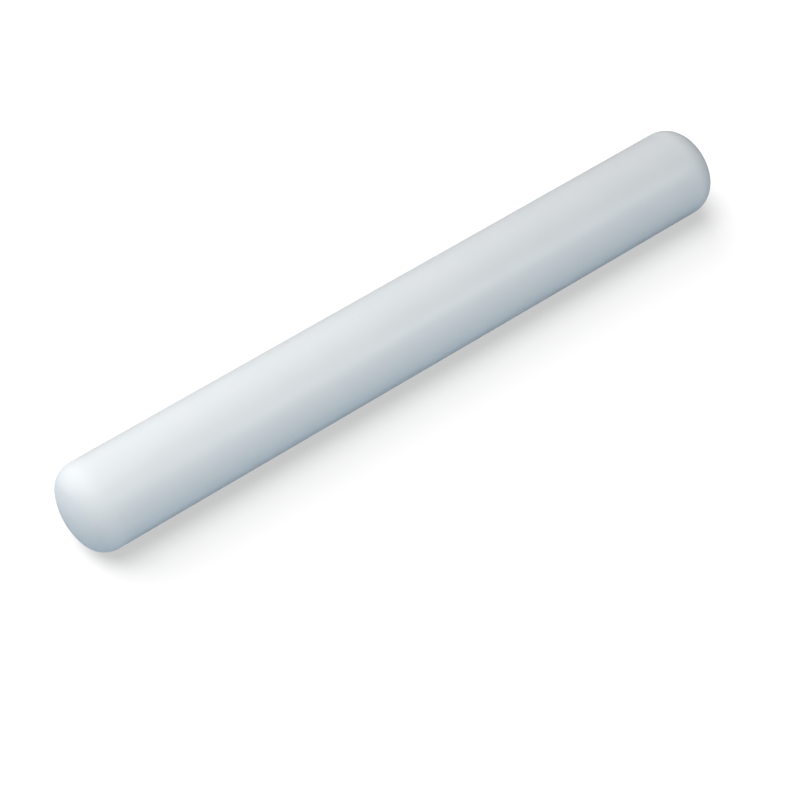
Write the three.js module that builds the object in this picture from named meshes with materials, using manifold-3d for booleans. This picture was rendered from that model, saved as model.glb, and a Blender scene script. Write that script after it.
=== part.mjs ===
// A plain rolling pin for fondant, with no handles. A hollow plastic barrel is closed at each end by a
// domed cap that pushes into the bore, and a rubber ring on each cap keeps wash water out of the barrel.
// Millimetres, +Z up. The pin lies along X on the plane z = 0, with its middle over the origin.

import * as THREE from 'three';
import { mergeVertices } from 'three/addons/utils/BufferGeometryUtils.js';
import Module from 'manifold-3d';

const wasm = await Module();
wasm.setup();

// Outside of the pin
const overallLength = 250;
const barrelDiameter = 30;
const crownRadius = 24.5; // the shallow dome over the middle of each end
const edgeRadius = 8.5; // the round that leads from the dome into the side
const capLand = 2; // straight side of a cap, between its round and the seam
const seamGap = 0.1;

// Barrel
const barrelWall = 3.5;
const mouthChamfer = 0.6; // eases the spigot and its ring into the bore

// Cap spigot, the stem that goes into the bore
const spigotLength = 20;
const spigotGap = 0.4; // between the stem and the bore, all round
const leadLength = 2;
const leadDepth = 1;
const cupRadius = 7.9; // the stem is moulded hollow, open towards the barrel
const crownWall = 4;

// Crush ribs along the stem, which grip the bore
const ribCount = 6;
const ribLength = 9;
const ribWidth = 1.2;
const ribHeight = 0.3;

// Two crossing webs that stiffen the hollow stem
const webThickness = 1.6;
const webSetback = 2; // from the open end of the stem

// Sealing ring and its groove
const grooveOffset = 4; // from the cap's shoulder to the groove
const grooveWidth = 2.4;
const grooveDepth = 1.6;
const ringGap = 0.1; // to the floor of the groove and to the bore

// Round pieces have this many flats. A flat faces straight down, so the pin lies on one of them.
const flats = 48;
const ringFlats = 10;
const roundSteps = 8;
const crownSteps = 5;
const flatToCorner = 1 / Math.cos(Math.PI / flats);
const sunk = 0.5; // how far a rib or a web reaches into what it grows from

// Sizes that follow from those above
const barrelRadius = barrelDiameter / 2;
const boreRadius = barrelRadius - barrelWall;
const spigotRadius = boreRadius - spigotGap;
const grooveRadius = spigotRadius - grooveDepth;
const edgeCentre = barrelRadius - edgeRadius;
const crownSetback = Math.sqrt((crownRadius - edgeRadius) ** 2 - edgeCentre ** 2);
const crownCentre = capLand - crownSetback;
const capLength = crownCentre + crownRadius;
const barrelLength = overallLength - 2 * (capLength + seamGap);

const pinPlastic = new THREE.MeshStandardMaterial({ color: 0xe4edf1, roughness: 0.36, metalness: 0 });
const sealRubber = new THREE.MeshStandardMaterial({ color: 0xa9b6bd, roughness: 0.6, metalness: 0 });

// Points along an arc of a profile, as [distance along X, radius], with angles taken from the X axis.
function arc(along, radius, size, from, to, steps) {
  return Array.from({ length: steps + 1 }, (_, step) => {
    const angle = THREE.MathUtils.lerp(from, to, step / steps);
    return [along + size * Math.cos(angle), radius + size * Math.sin(angle)];
  });
}

// Turns a profile about X. Its radii are measured to the middle of a flat.
function turned(profile) {
  const points = profile.map(([along, radius]) => new THREE.Vector2(radius * flatToCorner, along));
  const geometry = new THREE.LatheGeometry(points, flats, Math.PI / flats);
  geometry.rotateZ(-Math.PI / 2);
  return geometry;
}

// Makes a solid of a closed geometry. Triangles that shrink to a line on the axis are left out.
function solid(geometry) {
  const bare = new THREE.BufferGeometry();
  bare.setAttribute('position', geometry.getAttribute('position'));
  bare.setIndex(geometry.getIndex());
  const merged = mergeVertices(bare);
  const corners = Array.from(merged.getIndex().array);
  const triangles = [];
  for (let i = 0; i < corners.length; i += 3) {
    const [a, b, c] = corners.slice(i, i + 3);
    if (a !== b && b !== c && c !== a) {
      triangles.push(a, b, c);
    }
  }
  return new wasm.Manifold(new wasm.Mesh({
    numProp: 3,
    vertProperties: new Float32Array(merged.getAttribute('position').array),
    triVerts: new Uint32Array(triangles),
  }));
}

function geometryOf(body) {
  const mesh = body.getMesh();
  const geometry = new THREE.BufferGeometry();
  geometry.setAttribute('position', new THREE.BufferAttribute(mesh.vertProperties, 3));
  geometry.setIndex(new THREE.BufferAttribute(mesh.triVerts, 1));
  geometry.computeVertexNormals();
  return geometry;
}

// The barrel is a tube whose bore opens out a little at both mouths.
function barrelGeometry() {
  const half = barrelLength / 2;
  const mouthRadius = boreRadius + mouthChamfer;
  return turned([
    [-half, mouthRadius],
    [-half, barrelRadius],
    [half, barrelRadius],
    [half, mouthRadius],
    [half - mouthChamfer, boreRadius],
    [-half + mouthChamfer, boreRadius],
    [-half, mouthRadius],
  ]);
}

// A cap's turned shape, with x = 0 at its shoulder and its dome towards +X. The profile runs from the
// floor of the hollow stem, round its open end, over the groove and the shoulder, to the tip of the dome.
function turnedCap() {
  const floorRadius = crownRadius - crownWall;
  const floorAngle = Math.asin(cupRadius / floorRadius);
  const meetAngle = Math.atan2(edgeCentre, crownSetback);
  const grooveEnd = -grooveOffset - grooveWidth;
  return turned([
    ...arc(crownCentre, 0, floorRadius, 0, floorAngle, crownSteps),
    [-spigotLength, cupRadius],
    [-spigotLength, spigotRadius - leadDepth],
    [-spigotLength + leadLength, spigotRadius],
    [grooveEnd, spigotRadius],
    [grooveEnd, grooveRadius],
    [-grooveOffset, grooveRadius],
    [-grooveOffset, spigotRadius],
    [0, spigotRadius],
    [0, barrelRadius],
    ...arc(capLand, edgeCentre, edgeRadius, Math.PI / 2, meetAngle, roundSteps),
    ...arc(crownCentre, 0, crownRadius, meetAngle, 0, crownSteps).slice(1),
  ]);
}

// One crush rib, turned to its place round the stem.
function crushRib(angle) {
  const rib = new THREE.BoxGeometry(ribLength, ribWidth, ribHeight + sunk);
  const middle = -spigotLength + leadLength + ribLength / 2;
  rib.translate(middle, 0, spigotRadius + (ribHeight - sunk) / 2);
  rib.rotateX(angle);
  return rib;
}

// One stiffening web across the hollow stem, from near its open end into the back of the dome.
function web(angle) {
  const start = -spigotLength + webSetback;
  const end = crownCentre + crownRadius - crownWall + sunk;
  const plate = new THREE.BoxGeometry(end - start, 2 * (cupRadius + sunk), webThickness);
  plate.translate((start + end) / 2, 0, 0);
  plate.rotateX(angle);
  return plate;
}

function capGeometry() {
  let cap = solid(turnedCap());
  for (let i = 0; i < ribCount; i += 1) {
    cap = cap.add(solid(crushRib(((i + 0.5) * 2 * Math.PI) / ribCount)));
  }
  for (const angle of [0, Math.PI / 2]) {
    cap = cap.add(solid(web(angle)));
  }
  return geometryOf(cap);
}

// The sealing ring lies in the middle of its groove, in the same frame as its cap.
function ringGeometry() {
  const section = (boreRadius - grooveRadius) / 2 - ringGap;
  const middle = -grooveOffset - grooveWidth / 2;
  return turned(arc(middle, (boreRadius + grooveRadius) / 2, section, 0, -2 * Math.PI, ringFlats));
}

function named(name, geometry, material) {
  const mesh = new THREE.Mesh(geometry, material);
  mesh.name = name;
  return mesh;
}

// A cap with its ring, set at one end of the barrel: side is 1 for the +X end and -1 for the other.
function capAssembly(label, side) {
  const end = new THREE.Group();
  end.add(named(`${label}_end_cap`, capGeometry(), pinPlastic));
  end.add(named(`${label}_cap_seal`, ringGeometry(), sealRubber));
  end.position.x = side * (barrelLength / 2 + seamGap);
  end.rotation.z = side > 0 ? 0 : Math.PI;
  return end;
}

const rollingPin = new THREE.Group();
rollingPin.add(named('barrel_tube', barrelGeometry(), pinPlastic));
rollingPin.add(capAssembly('left', -1));
rollingPin.add(capAssembly('right', 1));
rollingPin.position.z = barrelRadius;

export default rollingPin;
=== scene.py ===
# %% [markdown]
# # A fondant rolling pin
#
# The real object is a plain plastic pin for rolling out sugar paste: a hollow barrel, closed at each
# end by a domed cap that pushes into the bore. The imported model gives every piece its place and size.
# This lesson makes the fine surfaces that go over it, gives them their finish, and lights them.

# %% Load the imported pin
import math

import bpy
import numpy as np
from mathutils import Matrix, Vector


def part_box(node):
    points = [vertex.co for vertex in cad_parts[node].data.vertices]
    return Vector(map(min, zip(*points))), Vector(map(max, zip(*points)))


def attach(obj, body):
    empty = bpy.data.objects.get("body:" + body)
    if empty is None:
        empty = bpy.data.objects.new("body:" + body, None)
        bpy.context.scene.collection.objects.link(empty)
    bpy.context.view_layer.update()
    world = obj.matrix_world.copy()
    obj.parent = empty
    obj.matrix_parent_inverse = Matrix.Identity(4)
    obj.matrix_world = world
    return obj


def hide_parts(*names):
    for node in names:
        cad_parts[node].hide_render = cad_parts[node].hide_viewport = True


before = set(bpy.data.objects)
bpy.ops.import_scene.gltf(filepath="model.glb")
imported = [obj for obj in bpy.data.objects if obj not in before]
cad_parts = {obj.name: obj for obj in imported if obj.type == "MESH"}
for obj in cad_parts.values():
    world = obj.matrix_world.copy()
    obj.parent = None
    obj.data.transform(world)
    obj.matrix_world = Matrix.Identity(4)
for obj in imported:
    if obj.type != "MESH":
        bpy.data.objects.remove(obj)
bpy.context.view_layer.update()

MM = 0.001

# %% [markdown]
# ## Sizes
#
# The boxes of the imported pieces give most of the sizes: the barrel's ends are the seams, and the caps'
# outer ends are the tips. What a box can't tell, such as the radius of a dome or the depth of a groove,
# is written in millimetres, as it would be on a drawing of the pin. The sizes that several pieces share
# are here, and each of the others stands in the cell that needs it first.

# %% Read the sizes from the frame
barrel_low, barrel_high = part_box("barrel_tube")
cap_low, cap_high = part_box("right_end_cap")
ring_low, ring_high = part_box("right_cap_seal")

AXIS_HEIGHT = (barrel_low.z + barrel_high.z) / 2
BARREL_RADIUS = (barrel_high.z - barrel_low.z) / 2
BARREL_HALF = barrel_high.x
TIP = cap_high.x
STEM_END = cap_low.x
RING_MIDDLE = (ring_low.x + ring_high.x) / 2
RING_SECTION = (ring_high.x - ring_low.x) / 2

SEAM_GAP = 0.1 * MM
BARREL_WALL = 3.5 * MM
SHOULDER = BARREL_HALF + SEAM_GAP
BORE_RADIUS = BARREL_RADIUS - BARREL_WALL

print("axis height", AXIS_HEIGHT, "radius", BARREL_RADIUS, "seam at", BARREL_HALF, "tip at", TIP)

# %% [markdown]
# ## Profiles
#
# Every piece of the pin is turned about one axis, so its shape is a profile: a line of points that
# each have a distance along the axis and a radius. Corners are never quite sharp on moulded plastic. A
# Bevel modifier could round them, but on a profile each corner can have a round of its own size, so
# helpers swap the corners for small arcs. Another adds points along the straight stretches, with one
# close to each corner, which keeps the smooth shading of the flats clean.

# %% Helpers for profiles
CORNER_STEPS = 6
SUPPORT = 0.08 * MM
LONG_STRETCH = 4 * SUPPORT


def arc(centre_along, centre_radius, size, start, end, count):
    """Points of an arc: centre plus size times the cosine and sine of angles from start to end."""
    angles = np.linspace(start, end, count)
    return np.stack([centre_along + size * np.cos(angles), centre_radius + size * np.sin(angles)], axis=1)


def rounded(corner, before, after, size):
    """An arc that touches both sides of a corner: the tangent length is size over the tangent of half
    the corner's angle, and the centre lies on the line that halves the angle."""
    corner, before, after = (np.asarray(point, float) for point in (corner, before, after))
    back = (before - corner) / np.linalg.norm(before - corner)
    ahead = (after - corner) / np.linalg.norm(after - corner)
    half = math.acos(np.clip(back @ ahead, -1, 1)) / 2
    middle = (back + ahead) / np.linalg.norm(back + ahead)
    centre = corner + middle * size / math.sin(half)
    first = corner + back * size / math.tan(half) - centre
    last = corner + ahead * size / math.tan(half) - centre
    turn = np.linspace(0, 1, CORNER_STEPS + 1)[:, None]
    sweep = math.pi - 2 * half
    return centre + (np.sin((1 - turn) * sweep) * first + np.sin(turn * sweep) * last) / math.sin(sweep)


def rounded_line(corners, which):
    """The arcs at the corners that which lists, in order, to be joined by straight stretches. A corner
    is a point and the size of its round, and its sides lead to the corners before and after it."""
    points = [point for point, size in corners]
    count = len(points)
    arcs = [rounded(points[i], points[i - 1], points[(i + 1) % count], corners[i][1]) for i in which]
    return np.concatenate(arcs)


def filled(points, step):
    """The same line with extra points: one SUPPORT from each end of a long stretch, and others at most
    step apart between them."""
    pieces = [points[:1]]
    for start, end in zip(points[:-1], points[1:]):
        length = np.linalg.norm(end - start)
        shares = [1.0]
        if length > LONG_STRETCH:
            count = max(2, math.ceil(length / step) + 1)
            shares = np.append(np.linspace(SUPPORT / length, 1 - SUPPORT / length, count), 1.0)
        pieces.append(start + np.outer(shares, end - start))
    return np.concatenate(pieces)


print("a corner of", CORNER_STEPS + 1, "points, supports at", SUPPORT, "m")

# %% [markdown]
# ## Turned surfaces
#
# A profile becomes a surface when it is carried round the axis. Blender's Spin and Screw tools do this,
# but here the points are worked out as one array: rows follow the profile and columns go round. That
# leaves room for a radius that changes with the angle too, which the ribs of the caps need.

# %% Grids round the axis
COLUMNS = 288


def ring_points(along, radius, columns):
    """A grid of points: x is the distance along, and y and z are the radius times the sine and cosine
    of the column's angle. The radius is one number for a row, or one for each point."""
    angle = np.arange(columns) * 2 * np.pi / columns
    radius = np.broadcast_to(np.atleast_2d(radius.T).T, (len(along), columns))
    grid = np.empty((len(along), columns, 3))
    grid[..., 0] = along[:, None]
    grid[..., 1] = -radius * np.sin(angle)
    grid[..., 2] = AXIS_HEIGHT + radius * np.cos(angle)
    return grid


def grid_faces(rows, columns, wrap_rows):
    """Four-sided faces between neighbouring rows and columns. Columns always close on themselves."""
    row = np.arange(rows if wrap_rows else rows - 1)[:, None]
    column = np.arange(columns)[None, :]
    next_row = (row + 1) % rows
    next_column = (column + 1) % columns
    corners = [row * columns + column, row * columns + next_column,
               next_row * columns + next_column, next_row * columns + column]
    return np.stack(np.broadcast_arrays(*corners), axis=-1).reshape(-1, 4)


def fan_faces(pole, first, columns, forward):
    """Three-sided faces from a pole on the axis to the row that starts at vertex first."""
    column = np.arange(columns)
    here = first + column
    beyond = first + (column + 1) % columns
    middle = np.full(columns, pole)
    return np.stack([middle, here, beyond] if forward else [middle, beyond, here], axis=-1)


print("columns round the pin:", COLUMNS)

# %% [markdown]
# Two kinds of pieces come from such a grid. A tube or a ring has a profile that closes on itself, so the
# last row joins the first. A cap's profile runs from one point of the axis to another, so a fan of
# triangles closes each end. Left open, the ends would let light in, and a Boolean would fail on them.

# %% Meshes from grids
def mesh_object(name, points, face_groups):
    """A smooth mesh of these points, at the origin, from arrays of faces."""
    mesh = bpy.data.meshes.new(name)
    faces = [face for group in face_groups for face in group.tolist()]
    mesh.from_pydata(points.tolist(), [], faces)
    mesh.polygons.foreach_set("use_smooth", np.ones(len(mesh.polygons), bool))
    mesh.update()
    piece = bpy.data.objects.new(name, mesh)
    bpy.context.scene.collection.objects.link(piece)
    return piece


def turned_ring(name, profile):
    """A profile that closes on itself, carried round the axis: a tube or a ring."""
    grid = ring_points(profile[:, 0], profile[:, 1], COLUMNS)
    return mesh_object(name, grid.reshape(-1, 3), [grid_faces(len(profile), COLUMNS, True)])


def turned_solid(name, along, radius, poles, columns):
    """A grid that is closed at each end by a fan to a pole on the axis. The poles are two distances
    along it."""
    rows = len(along)
    count = rows * columns
    grid = ring_points(along, radius, columns)
    pole_points = np.array([[pole, 0, AXIS_HEIGHT] for pole in poles])
    faces = [grid_faces(rows, columns, False),
             fan_faces(count, 0, columns, False),
             fan_faces(count + 1, count - columns, columns, True)]
    return mesh_object(name, np.vstack([grid.reshape(-1, 3), pole_points]), faces)


print("a ring has", COLUMNS, "faces for each point of its profile")

# %% [markdown]
# ## Barrel
#
# The barrel is an extruded tube, cut square. Its outer corners at the seams are broken by a hair, and
# the bore opens out at both mouths so that a cap's stem and ring slide in. Two cylinders and a Boolean
# would make the tube, but its edges would be sharp, so it is turned from a closed profile. In the
# finished pin the seam is a hairline that can hardly be seen, so the tube reaches most of the way across
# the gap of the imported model.

# %% Make the barrel
HAIRLINE = 0.006 * MM
SEAM_ROUND = 0.01 * MM
MOUTH_CHAMFER = 0.6 * MM
MOUTH_ROUND = 0.2 * MM
BARREL_STEP = 6 * MM

barrel_end = BARREL_HALF + (SEAM_GAP - HAIRLINE) / 2
mouth_radius = BORE_RADIUS + MOUTH_CHAMFER
chamfer_end = barrel_end - MOUTH_CHAMFER
barrel_corners = [
    ((-barrel_end, mouth_radius), MOUTH_ROUND),
    ((-barrel_end, BARREL_RADIUS), SEAM_ROUND),
    ((barrel_end, BARREL_RADIUS), SEAM_ROUND),
    ((barrel_end, mouth_radius), MOUTH_ROUND),
    ((chamfer_end, BORE_RADIUS), MOUTH_ROUND),
    ((-chamfer_end, BORE_RADIUS), MOUTH_ROUND),
]
barrel_line = rounded_line(barrel_corners, range(len(barrel_corners)))
barrel_line = filled(np.vstack([barrel_line, barrel_line[:1]]), BARREL_STEP)[:-1]
barrel = turned_ring("barrel", barrel_line)
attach(barrel, "barrel")
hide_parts("barrel_tube")
print("barrel", len(barrel.data.polygons), "faces,", 2 * barrel_end / MM, "mm long")

# %% [markdown]
# ## End caps
#
# Each cap is one moulding. Outside it is a shallow dome that a generous round leads into the side. A
# flattened sphere would come close, but two arcs that touch are easier to measure on a real pin.
# The small arc lies inside the large one, so their centres are apart by the difference of their radii,
# and the line through both centres marks the point where they meet.

# %% Profile of a dome
CROWN_RADIUS = 24.5 * MM
EDGE_RADIUS = 8.5 * MM
DOME_POINTS = 48

edge_centre = BARREL_RADIUS - EDGE_RADIUS
crown_setback = math.sqrt((CROWN_RADIUS - EDGE_RADIUS) ** 2 - edge_centre ** 2)
crown_centre = TIP - CROWN_RADIUS
round_start = crown_centre + crown_setback
meet_angle = math.atan2(edge_centre, crown_setback)
dome = np.concatenate([
    arc(round_start, edge_centre, EDGE_RADIUS, math.pi / 2, meet_angle, DOME_POINTS),
    arc(crown_centre, 0, CROWN_RADIUS, meet_angle, 0, DOME_POINTS)[1:-1],
])
print("dome of", len(dome), "points, from", round_start / MM, "mm to", TIP / MM, "mm")

# %% [markdown]
# Inside the barrel a cap is a hollow stem. It has a lead at its end, which finds the bore, and a groove
# for the ring. It could be built from cylinders and Booleans, but one profile takes in the cup, the stem
# and the groove, and the dome goes on at its end.

# %% Profile of a stem
STEM_GAP = 0.4 * MM
LEAD_LENGTH = 2 * MM
LEAD_DEPTH = 1 * MM
CUP_RADIUS = 7.9 * MM
CROWN_WALL = 4 * MM
GROOVE_WIDTH = 2.4 * MM
GROOVE_DEPTH = 1.6 * MM
STEM_ROUND = 0.25 * MM
GROOVE_ROUND = 0.2 * MM
CUP_ROUND = 2.5 * MM
CAP_STEP = 0.5 * MM

stem_radius = BORE_RADIUS - STEM_GAP
groove_floor = stem_radius - GROOVE_DEPTH
groove_start = RING_MIDDLE - GROOVE_WIDTH / 2
groove_end = RING_MIDDLE + GROOVE_WIDTH / 2
cap_face = SHOULDER - (SEAM_GAP - HAIRLINE) / 2
cup_floor = TIP - CROWN_WALL
pole_row_radius = CUP_RADIUS / DOME_POINTS
stem_corners = [
    ((cup_floor, 0), None),
    ((cup_floor, CUP_RADIUS), CUP_ROUND),
    ((STEM_END, CUP_RADIUS), STEM_ROUND),
    ((STEM_END, stem_radius - LEAD_DEPTH), STEM_ROUND),
    ((STEM_END + LEAD_LENGTH, stem_radius), STEM_ROUND),
    ((groove_start, stem_radius), GROOVE_ROUND),
    ((groove_start, groove_floor), GROOVE_ROUND),
    ((groove_end, groove_floor), GROOVE_ROUND),
    ((groove_end, stem_radius), GROOVE_ROUND),
    ((cap_face, stem_radius), GROOVE_ROUND),
    ((cap_face, BARREL_RADIUS), SEAM_ROUND),
    ((round_start, BARREL_RADIUS), None),
]
stem_line = rounded_line(stem_corners, range(1, len(stem_corners) - 1))
first_row = np.array([[cup_floor, pole_row_radius]])
cap_line = filled(np.vstack([first_row, stem_line, dome]), CAP_STEP)
print("cap profile of", len(cap_line), "points, from", cap_line[0] / MM, "to", cap_line[-1] / MM)

# %% [markdown]
# Six low ribs on the stem are crushed a little when it is pushed into the bore, and hold the cap there.
# They could be small boxes joined on, but on a grid they are only a swelling of the radius, between two
# angles and two distances, with soft flanks like those of a real mould.

# %% Ribs on the stem
RIB_COUNT = 6
RIB_LENGTH = 9 * MM
RIB_WIDTH = 1.2 * MM
RIB_HEIGHT = 0.3 * MM
RIB_FLANK = 0.35 * MM
RIB_TAPER = 1.5 * MM
STEM_TOLERANCE = 0.01 * MM


def smooth_step(value):
    """0 below 0, 1 above 1, and 3 v squared minus 2 v cubed between them."""
    value = np.clip(value, 0, 1)
    return value * value * (3 - 2 * value)


def rib_swelling(line, columns):
    """Height of the ribs over the grid: a smooth plateau across each rib times one along it. The
    distance across is the angle to the nearest rib times the stem's radius."""
    angle = np.arange(columns) * 2 * np.pi / columns
    spacing = 2 * np.pi / RIB_COUNT
    across = np.abs(np.mod(angle, spacing) - spacing / 2) * stem_radius
    along = np.abs(line[:, 0] - (STEM_END + LEAD_LENGTH + RIB_LENGTH / 2))
    wide = smooth_step((RIB_WIDTH / 2 + RIB_FLANK / 2 - across) / RIB_FLANK)
    long = smooth_step((RIB_LENGTH / 2 - along) / RIB_TAPER)
    on_stem = np.isclose(line[:, 1], stem_radius, atol=STEM_TOLERANCE)
    return RIB_HEIGHT * np.outer(long * on_stem, wide)


print("ribs rise", rib_swelling(cap_line, COLUMNS).max() / MM, "mm")

# %% [markdown]
# The hollow stem is stiffened by two crossing webs. Seen from the open end they are a plus sign. Two
# boxes would give it sharp inner corners, so they are made as one outline with soft ones, drawn as a
# distance from the centre for each angle, and carried along the stem.

# %% Crossing webs
WEB_THICKNESS = 1.6 * MM
WEB_SETBACK = 2 * MM
WEB_SUNK = 0.5 * MM
WEB_ROUND = 0.25 * MM
WEB_SHARPNESS = 14
WEB_COLUMNS = 360


def web_outline(inset):
    """A plus sign as a distance for each angle. Each arm is a long box, which is the smaller of two
    slabs, and the plus sign is the larger of the two arms, softened by a power mean. The angles start
    half a column off the axis, so that no slab is divided by zero."""
    angle = (np.arange(WEB_COLUMNS) + 0.5) * 2 * np.pi / WEB_COLUMNS
    cosine = np.abs(np.cos(angle))
    sine = np.abs(np.sin(angle))
    reach = CUP_RADIUS + WEB_SUNK
    half = WEB_THICKNESS / 2 - inset
    flat_arm = np.minimum(reach / cosine, half / sine)
    tall_arm = np.minimum(half / cosine, reach / sine)
    return (flat_arm ** WEB_SHARPNESS + tall_arm ** WEB_SHARPNESS) ** (1 / WEB_SHARPNESS)


def crossing_webs(name):
    """The outline at a row of distances along the stem, drawn in by a quarter round at the open end."""
    turn = np.linspace(np.pi / 2, 0, CORNER_STEPS + 1)
    start = STEM_END + WEB_SETBACK
    along = np.concatenate([start + WEB_ROUND * (1 - np.sin(turn)), [cup_floor + WEB_SUNK]])
    insets = np.concatenate([WEB_ROUND * (1 - np.cos(turn)), [0]])
    radius = np.stack([web_outline(inset) for inset in insets])
    return turned_solid(name, along, radius, (along[0], along[-1]), WEB_COLUMNS)


print("webs reach", web_outline(0).max() / MM, "mm from the axis")

# %% [markdown]
# A Boolean joins the webs to the turned part, so that the cap is one closed skin. The two caps are alike.
# One is made at the right end, and the other is the same mesh turned half a turn about the upright axis,
# which keeps its faces pointing outwards, as a mirror would not.

# %% Make the caps
SMOOTH_BELOW = math.radians(35)


def joined(piece, other):
    """The union of two closed pieces as one mesh, with the second one used up."""
    union = piece.modifiers.new("webs", "BOOLEAN")
    union.operation = "UNION"
    union.solver = "EXACT"
    union.object = other
    bpy.context.view_layer.update()
    result = bpy.data.meshes.new_from_object(piece.evaluated_get(bpy.context.evaluated_depsgraph_get()))
    piece.modifiers.remove(union)
    piece.data = result
    bpy.data.objects.remove(other)
    return piece


def end_cap(name, half_turns):
    """The profile carried round the axis with the ribs added, closed by a pole at each end, then joined
    to its webs and turned to its end of the barrel."""
    radius = cap_line[:, 1][:, None] + rib_swelling(cap_line, COLUMNS)
    skin = turned_solid(name, cap_line[:, 0], radius, (cup_floor, TIP), COLUMNS)
    cap = joined(skin, crossing_webs(name + "_webs"))
    cap.data.transform(Matrix.Rotation(half_turns * math.pi, 4, "Z"))
    cap.data.set_sharp_from_angle(angle=SMOOTH_BELOW)
    return cap


caps = {side: end_cap(side + "_cap", half_turns) for side, half_turns in (("right", 0), ("left", 1))}
for side, cap in caps.items():
    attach(cap, side + "_cap")
    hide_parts(side + "_end_cap")
    print(cap.name, len(cap.data.polygons), "faces")

# %% [markdown]
# ## Sealing rings
#
# A silicone ring sits in each groove. It is a torus: a small circle carried round the axis. Blender has a
# torus of its own, but the moulds of such rings leave a faint line where they part, so here the circle
# swells by a hair at two opposite points.

# %% Make the sealing rings
SECTION_POINTS = 48
FLASH_HEIGHT = 0.03 * MM
FLASH_SHARPNESS = 60

ring_centre = (BORE_RADIUS + groove_floor) / 2


def sealing_ring(name, side):
    """A circle about the middle of the groove, carried round the axis. Its radius swells where the
    cosine of the angle, to a high power, is near one, at the two mould lines."""
    angle = -np.arange(SECTION_POINTS) * 2 * np.pi / SECTION_POINTS
    size = RING_SECTION - FLASH_HEIGHT * (1 - np.cos(angle) ** FLASH_SHARPNESS)
    along = side * (RING_MIDDLE + size * np.cos(angle))
    radius = ring_centre + size * np.sin(angle)
    return turned_ring(name, np.stack([along, radius], axis=1)[::side])


rings = {"right": sealing_ring("right_seal", 1), "left": sealing_ring("left_seal", -1)}
for side, ring in rings.items():
    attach(ring, side + "_cap")
    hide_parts(side + "_cap_seal")
    print(ring.name, len(ring.data.polygons), "faces")

# %% [markdown]
# ## Finishes
#
# A flat colour looks like a drawing, so a little of what real plastic has is added: a slight change of
# tint, patches that are less polished, and marks too shallow to see one by one. Pictures wrapped round
# the pieces could show them, but noise needs no picture and no unwrapping. It is read on Object
# coordinates, so it stays on the piece when the piece moves.

# %% Helpers for finishes
EVENLY = (1, 1, 1)
NOISE_DETAIL = 3
NOISE_LOW = 0.3
NOISE_HIGH = 0.7


def new_material(name):
    """A new material and its shader."""
    material = bpy.data.materials.new(name)
    material.use_nodes = True
    return material, material.node_tree.nodes["Principled BSDF"]


def noise(tree, place, scale, stretch=EVENLY, detail=NOISE_DETAIL):
    """Noise on a stretched coordinate: features are about one metre over scale across."""
    mapping = tree.nodes.new("ShaderNodeMapping")
    mapping.inputs["Scale"].default_value = stretch
    texture = tree.nodes.new("ShaderNodeTexNoise")
    texture.inputs["Scale"].default_value = scale
    texture.inputs["Detail"].default_value = detail
    tree.links.new(place, mapping.inputs["Vector"])
    tree.links.new(mapping.outputs["Vector"], texture.inputs["Vector"])
    return texture.outputs["Fac"]


def spread(tree, value, low, high):
    """Noise stays near its middle, so what lies between NOISE_LOW and NOISE_HIGH is stretched to run
    from low to high."""
    ramp = tree.nodes.new("ShaderNodeMapRange")
    ramp.inputs["From Min"].default_value = NOISE_LOW
    ramp.inputs["From Max"].default_value = NOISE_HIGH
    ramp.inputs["To Min"].default_value = low
    ramp.inputs["To Max"].default_value = high
    tree.links.new(value, ramp.inputs["Value"])
    return ramp.outputs["Result"]


def tinted(tree, shader, value, dark, light):
    """Base colour between two tints."""
    mix = tree.nodes.new("ShaderNodeMix")
    mix.data_type = "RGBA"
    mix.inputs["A"].default_value = (*dark, 1)
    mix.inputs["B"].default_value = (*light, 1)
    tree.links.new(value, mix.inputs["Factor"])
    tree.links.new(mix.outputs["Result"], shader.inputs["Base Color"])


def bumped(tree, shader, heights):
    """Bumps in a chain: each is a height pattern and the depth it stands for, in metres."""
    previous = None
    for height, depth in heights:
        bump = tree.nodes.new("ShaderNodeBump")
        bump.inputs["Distance"].default_value = depth
        tree.links.new(height, bump.inputs["Height"])
        if previous:
            tree.links.new(previous, bump.inputs["Normal"])
        previous = bump.outputs["Normal"]
    tree.links.new(previous, shader.inputs["Normal"])


print("noise between", NOISE_LOW, "and", NOISE_HIGH, "is spread over the whole of a finish")

# %% [markdown]
# The pin is white polyethylene with a breath of blue, smooth enough to show the soft edge of a lamp.
# The die that a tube is pressed through leaves fine lines along it, so the barrel's noise is drawn out
# along the axis. The caps are moulded: they have an even grain, and are more matt than the barrel, which
# softens the highlight on a dome. One function makes both plastics, because they differ in nothing else.

# %% Polyethylene of the barrel and the caps
PLASTIC_DARK = (0.782, 0.830, 0.853)
PLASTIC_LIGHT = (0.802, 0.848, 0.869)
PLASTIC_IOR = 1.51
BARREL_GLOSS = (0.28, 0.34)
CAP_GLOSS = (0.48, 0.56)
TINT_SCALE = 45
POLISH_SCALE = 160
POLISH_DETAIL = 5
PEEL_SCALE = 900
PEEL_DEPTH = 0.0010 * MM
MARK_DEPTH = 0.0012 * MM
DIE_LINE_SCALE = 1500
DIE_LINE_STRETCH = (0.01, 1, 1)
MOULD_GRAIN_SCALE = 700


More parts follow.
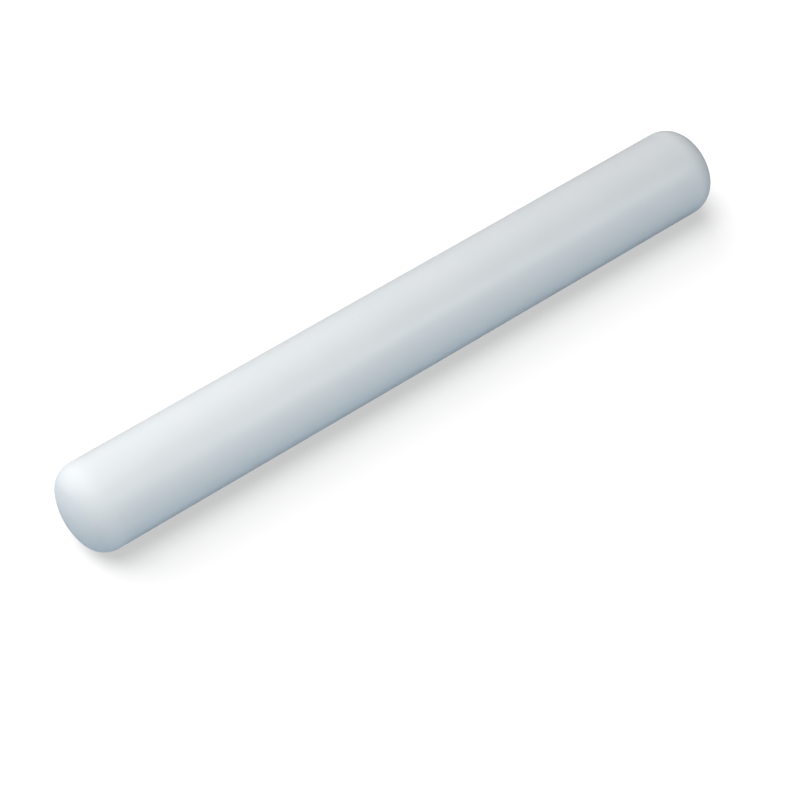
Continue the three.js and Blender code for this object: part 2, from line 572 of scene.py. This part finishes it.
def plastic(name, gloss, marks_scale, marks_stretch):
    """Polyethylene with a roughness between two values. The marks are noise drawn out along the way
    the piece was formed."""
    material, shader = new_material(name)
    tree = material.node_tree
    place = tree.nodes.new("ShaderNodeTexCoord").outputs["Object"]
    cloud = spread(tree, noise(tree, place, TINT_SCALE), 0, 1)
    tinted(tree, shader, cloud, PLASTIC_DARK, PLASTIC_LIGHT)
    polish = noise(tree, place, POLISH_SCALE, detail=POLISH_DETAIL)
    tree.links.new(spread(tree, polish, *gloss), shader.inputs["Roughness"])
    marks = noise(tree, place, marks_scale, marks_stretch)
    peel = noise(tree, place, PEEL_SCALE)
    bumped(tree, shader, [(marks, MARK_DEPTH), (peel, PEEL_DEPTH)])
    shader.inputs["IOR"].default_value = PLASTIC_IOR
    return material


barrel_plastic = plastic("barrel_polyethylene", BARREL_GLOSS, DIE_LINE_SCALE, DIE_LINE_STRETCH)
cap_plastic = plastic("cap_polyethylene", CAP_GLOSS, MOULD_GRAIN_SCALE, EVENLY)
barrel.data.materials.append(barrel_plastic)
for cap in caps.values():
    cap.data.materials.clear()
    cap.data.materials.append(cap_plastic)
print("plastic on", barrel.name, *[cap.name for cap in caps.values()])

# %% [markdown]
# The rings are grey-blue silicone. New silicone is satin, and a whitish bloom dulls it in patches. The
# same helpers serve, with finer noise, because a ring is less than two millimetres thick.

# %% Silicone of the sealing rings
SILICONE_DARK = (0.33, 0.40, 0.44)
SILICONE_LIGHT = (0.38, 0.45, 0.49)
SILICONE_IOR = 1.41
SILICONE_GLOSS = (0.42, 0.58)
SILICONE_TINT_SCALE = 120
BLOOM_SCALE = 500
BLOOM_DETAIL = 4
SKIN_SCALE = 4000
SKIN_DEPTH = 0.004 * MM


def silicone(name):
    """Silicone with two tints, a bloom that changes its roughness, and a finely grained skin."""
    material, shader = new_material(name)
    tree = material.node_tree
    place = tree.nodes.new("ShaderNodeTexCoord").outputs["Object"]
    cloud = spread(tree, noise(tree, place, SILICONE_TINT_SCALE), 0, 1)
    tinted(tree, shader, cloud, SILICONE_DARK, SILICONE_LIGHT)
    bloom = noise(tree, place, BLOOM_SCALE, detail=BLOOM_DETAIL)
    tree.links.new(spread(tree, bloom, *SILICONE_GLOSS), shader.inputs["Roughness"])
    bumped(tree, shader, [(noise(tree, place, SKIN_SCALE), SKIN_DEPTH)])
    shader.inputs["IOR"].default_value = SILICONE_IOR
    return material


seal_silicone = silicone("seal_silicone")
for ring in rings.values():
    ring.data.materials.append(seal_silicone)
print("silicone on", *[ring.name for ring in rings.values()])

# %% [markdown]
# ## Floor
#
# The pin lies on a plain white page, while the light that comes back up from below is dim and blue, as
# in a grey-blue room. One floor can't be both, so there are three flat ones, and each is hidden from
# the rays that it isn't meant for. The camera sees only the page. The table, just under it, lights the
# pin from below. The mirrored page starts behind the pin and is seen only in its gloss, which brightens
# the upper rim and leaves the lower one dark.

# %% Make the floors
FLOOR_SIZE = 8.0
FLOOR_CELLS = 8
PAGE_DROP = 0.05 * MM
TABLE_DROP = 0.10 * MM
MIRRORED_FRONT = 22 * MM
PAGE_COLOUR = (0.10, 0.10, 0.10, 1)
PAGE_GLOW = 0.53
TABLE_COLOUR = (0.50, 0.64, 0.76, 1)
MIRRORED_GLOW = 0.30
WHITE = (1, 1, 1, 1)


def flat_floor(name, drop, front=-FLOOR_SIZE / 2):
    """A flat grid a little below the pin, as wide as the floor and as deep as from front to its back."""
    edge = np.linspace(-FLOOR_SIZE / 2, FLOOR_SIZE / 2, FLOOR_CELLS + 1)
    floor_x, floor_y = np.meshgrid(edge, np.linspace(front, FLOOR_SIZE / 2, FLOOR_CELLS + 1))
    points = np.stack([floor_x.ravel(), floor_y.ravel(), np.full(floor_x.size, -drop)], axis=1)
    cell = np.arange(FLOOR_CELLS)
    corner = (cell[:, None] * len(edge) + cell).ravel()
    beyond = corner + len(edge)
    return mesh_object(name, points, [np.stack([corner, corner + 1, beyond + 1, beyond], axis=1)])


def matt(name, colour, glow):
    """A plain matt finish that may give off a little light of its own."""
    material, shader = new_material(name)
    shader.inputs["Base Color"].default_value = colour
    shader.inputs["Roughness"].default_value = 1.0
    shader.inputs["Specular IOR Level"].default_value = 0.0
    shader.inputs["Emission Color"].default_value = WHITE
    shader.inputs["Emission Strength"].default_value = glow
    return material


page = flat_floor("page", PAGE_DROP)
page.data.materials.append(matt("page_white", PAGE_COLOUR, PAGE_GLOW))
page.visible_diffuse = False
page.visible_glossy = False
page.visible_shadow = False
table = flat_floor("table", TABLE_DROP)
table.data.materials.append(matt("table_blue", TABLE_COLOUR, 0))
table.visible_camera = False
table.visible_glossy = False
mirrored = flat_floor("mirrored_page", TABLE_DROP, MIRRORED_FRONT)
mirrored.data.materials.append(matt("mirrored_white", PAGE_COLOUR, MIRRORED_GLOW))
mirrored.visible_camera = False
mirrored.visible_diffuse = False
mirrored.visible_shadow = False

# %% [markdown]
# ## Light
#
# Soft boxes light the pin, as in a small studio. Bare lamps would be easier to place, but only a broad
# face gives such soft edges. The main box hangs low over the left end, so the pin grows darker towards
# its right end. A strip hangs further forward, and its mirror image is the faint slanting line along
# the barrel. Four more boxes stand around and keep the sides from going black.

# %% Make the soft boxes
STRAIGHT_UP = Vector((0, 0, 1))


def soft_box(name, place, facing_from, size, brightness):
    """A rectangular area light whose face looks back along facing_from. Its power is the brightness of
    its face, for each colour, times pi times its area."""
    strongest = max(brightness)
    data = bpy.data.lights.new(name, "AREA")
    data.shape = "RECTANGLE"
    data.size, data.size_y = size
    data.energy = strongest * math.pi * size[0] * size[1]
    data.color = [value / strongest for value in brightness]
    light = bpy.data.objects.new(name, data)
    light.location = place
    light.rotation_euler = facing_from.to_track_quat("Z", "Y").to_euler()
    light.visible_camera = False
    bpy.context.scene.collection.objects.link(light)
    return light


def hung_box(name, x, y, height, size, brightness):
    """A box that hangs level and looks straight down."""
    return soft_box(name, Vector((x, y, height)), STRAIGHT_UP, size, brightness)


def heading(azimuth, elevation):
    """The direction at these angles in degrees. Azimuth is counted from +X towards +Y."""
    around = math.radians(azimuth)
    up = math.radians(elevation)
    return Vector((math.cos(around) * math.cos(up), math.sin(around) * math.cos(up), math.sin(up)))


def stood_box(name, azimuth, elevation, distance, size, brightness):
    """A box on a stand that faces the middle of the pin."""
    way = heading(azimuth, elevation)
    return soft_box(name, way * distance, way, size, brightness)


soft_boxes = [
    hung_box("main_box", x=-0.18, y=0.10, height=0.40,
             size=(0.30, 0.50), brightness=(2.28, 2.26, 2.25)),
    hung_box("front_strip", x=0.20, y=-0.45, height=0.45,
             size=(0.60, 0.30), brightness=(1.42, 1.42, 1.42)),
    stood_box("left_back_box", azimuth=120, elevation=20, distance=0.90,
              size=(1.20, 0.70), brightness=(1.62, 1.53, 1.48)),
    stood_box("right_front_box", azimuth=315, elevation=35, distance=0.70,
              size=(0.36, 0.36), brightness=(0.48, 0.52, 0.58)),
    stood_box("front_box", azimuth=250, elevation=25, distance=0.90,
              size=(0.80, 0.60), brightness=(0.44, 0.42, 0.40)),
    stood_box("left_box", azimuth=200, elevation=6, distance=0.90,
              size=(0.80, 0.40), brightness=(0.21, 0.20, 0.18)),
]
print("boxes", [box.name for box in soft_boxes])

# %% [markdown]
# The page has light of its own, so that it is white all over but for a soft shadow in front of the pin.
# Under soft boxes it would grow darker far away, and a low view would show a grey horizon. Two broad suns
# are as bright far away as near, and light linking keeps them to the page.

# %% Light for the page alone
page_only = bpy.data.collections.new("page_only")
page_only.objects.link(page)


def page_sun(name, azimuth, elevation, width, strength):
    """A broad sun that lights the page alone: as bright far away as near, and as soft-edged as a disc
    that is width degrees across in the sky."""
    data = bpy.data.lights.new(name, "SUN")
    data.angle = math.radians(width)
    data.energy = strength
    sun = bpy.data.objects.new(name, data)
    sun.rotation_euler = heading(azimuth, elevation).to_track_quat("Z", "Y").to_euler()
    sun.light_linking.receiver_collection = page_only
    bpy.context.scene.collection.objects.link(sun)
    return sun


suns = [
    page_sun("page_key", azimuth=180, elevation=75, width=37, strength=9.0),
    page_sun("page_fill", azimuth=105, elevation=42, width=68, strength=10.8),
]
print("suns", [sun.name for sun in suns])

# %% [markdown]
# The room around gives a dim, even light, but only from above the horizon: from below, it would brighten
# the dark line along the pin's lower edge. The camera sees white in its place, so that the page seems to
# have no end. The Standard view shows colours as they are, where the usual one would grey the white.

# %% The room around
ROOM_COLOUR = (0.29, 0.29, 0.29, 1)
HORIZON = 0

room = bpy.data.worlds.new("room")
room.use_nodes = True
nodes = room.node_tree.nodes
links = room.node_tree.links
dim_room = nodes["Background"]
dim_room.inputs["Color"].default_value = ROOM_COLOUR
direction = nodes.new("ShaderNodeTexCoord")
parts = nodes.new("ShaderNodeSeparateXYZ")
above_floor = nodes.new("ShaderNodeMath")
above_floor.operation = "GREATER_THAN"
above_floor.inputs[1].default_value = HORIZON
links.new(direction.outputs["Generated"], parts.inputs["Vector"])
links.new(parts.outputs["Z"], above_floor.inputs[0])
links.new(above_floor.outputs["Value"], dim_room.inputs["Strength"])
white_room = nodes.new("ShaderNodeBackground")
white_room.inputs["Color"].default_value = WHITE
seen = nodes.new("ShaderNodeLightPath")
choose = nodes.new("ShaderNodeMixShader")
links.new(seen.outputs["Is Camera Ray"], choose.inputs["Fac"])
links.new(dim_room.outputs["Background"], choose.inputs[1])
links.new(white_room.outputs["Background"], choose.inputs[2])
links.new(choose.outputs["Shader"], nodes["World Output"].inputs["Surface"])
bpy.context.scene.world = room
bpy.context.scene.view_settings.view_transform = "Standard"
print("room colour", ROOM_COLOUR)

# %% [markdown]
# ## Camera
#
# The camera stands to the left of the pin and looks down at it through a long lens. It could be set by
# eye, but then the outlines would never quite agree. So its angles, its distance and the pixel where the
# middle of the pin falls come from fitting the outline of a pin of this size to the photograph, in a
# square image of 800 pixels.

# %% Make the camera
IMAGE_SIDE = 800
FOCAL_PIXELS = 2475.2
CAMERA_AZIMUTH = math.radians(-37.058)
CAMERA_ELEVATION = math.radians(51.061)
CAMERA_DISTANCE = 0.7898
MIDDLE_PIXEL = (399.14, 330.34)
SENSOR = 36.0

back = Vector((
    math.sin(CAMERA_AZIMUTH) * math.cos(CAMERA_ELEVATION),
    -math.cos(CAMERA_AZIMUTH) * math.cos(CAMERA_ELEVATION),
    math.sin(CAMERA_ELEVATION),
))
across = Vector((math.cos(CAMERA_AZIMUTH), math.sin(CAMERA_AZIMUTH), 0))
upright = back.cross(across)
right_offset = (MIDDLE_PIXEL[0] - IMAGE_SIDE / 2) / FOCAL_PIXELS
down_offset = (MIDDLE_PIXEL[1] - IMAGE_SIDE / 2) / FOCAL_PIXELS
middle = Vector((0, 0, AXIS_HEIGHT))

camera_data = bpy.data.cameras.new("camera")
camera_data.sensor_width = SENSOR
camera_data.lens = FOCAL_PIXELS / IMAGE_SIDE * SENSOR
camera = bpy.data.objects.new("camera", camera_data)
camera.location = middle + CAMERA_DISTANCE * (back - right_offset * across + down_offset * upright)
camera.rotation_euler = Matrix((across, upright, back)).transposed().to_euler()
bpy.context.scene.collection.objects.link(camera)
bpy.context.scene.camera = camera
print("camera at", tuple(camera.location), "lens", camera_data.lens)
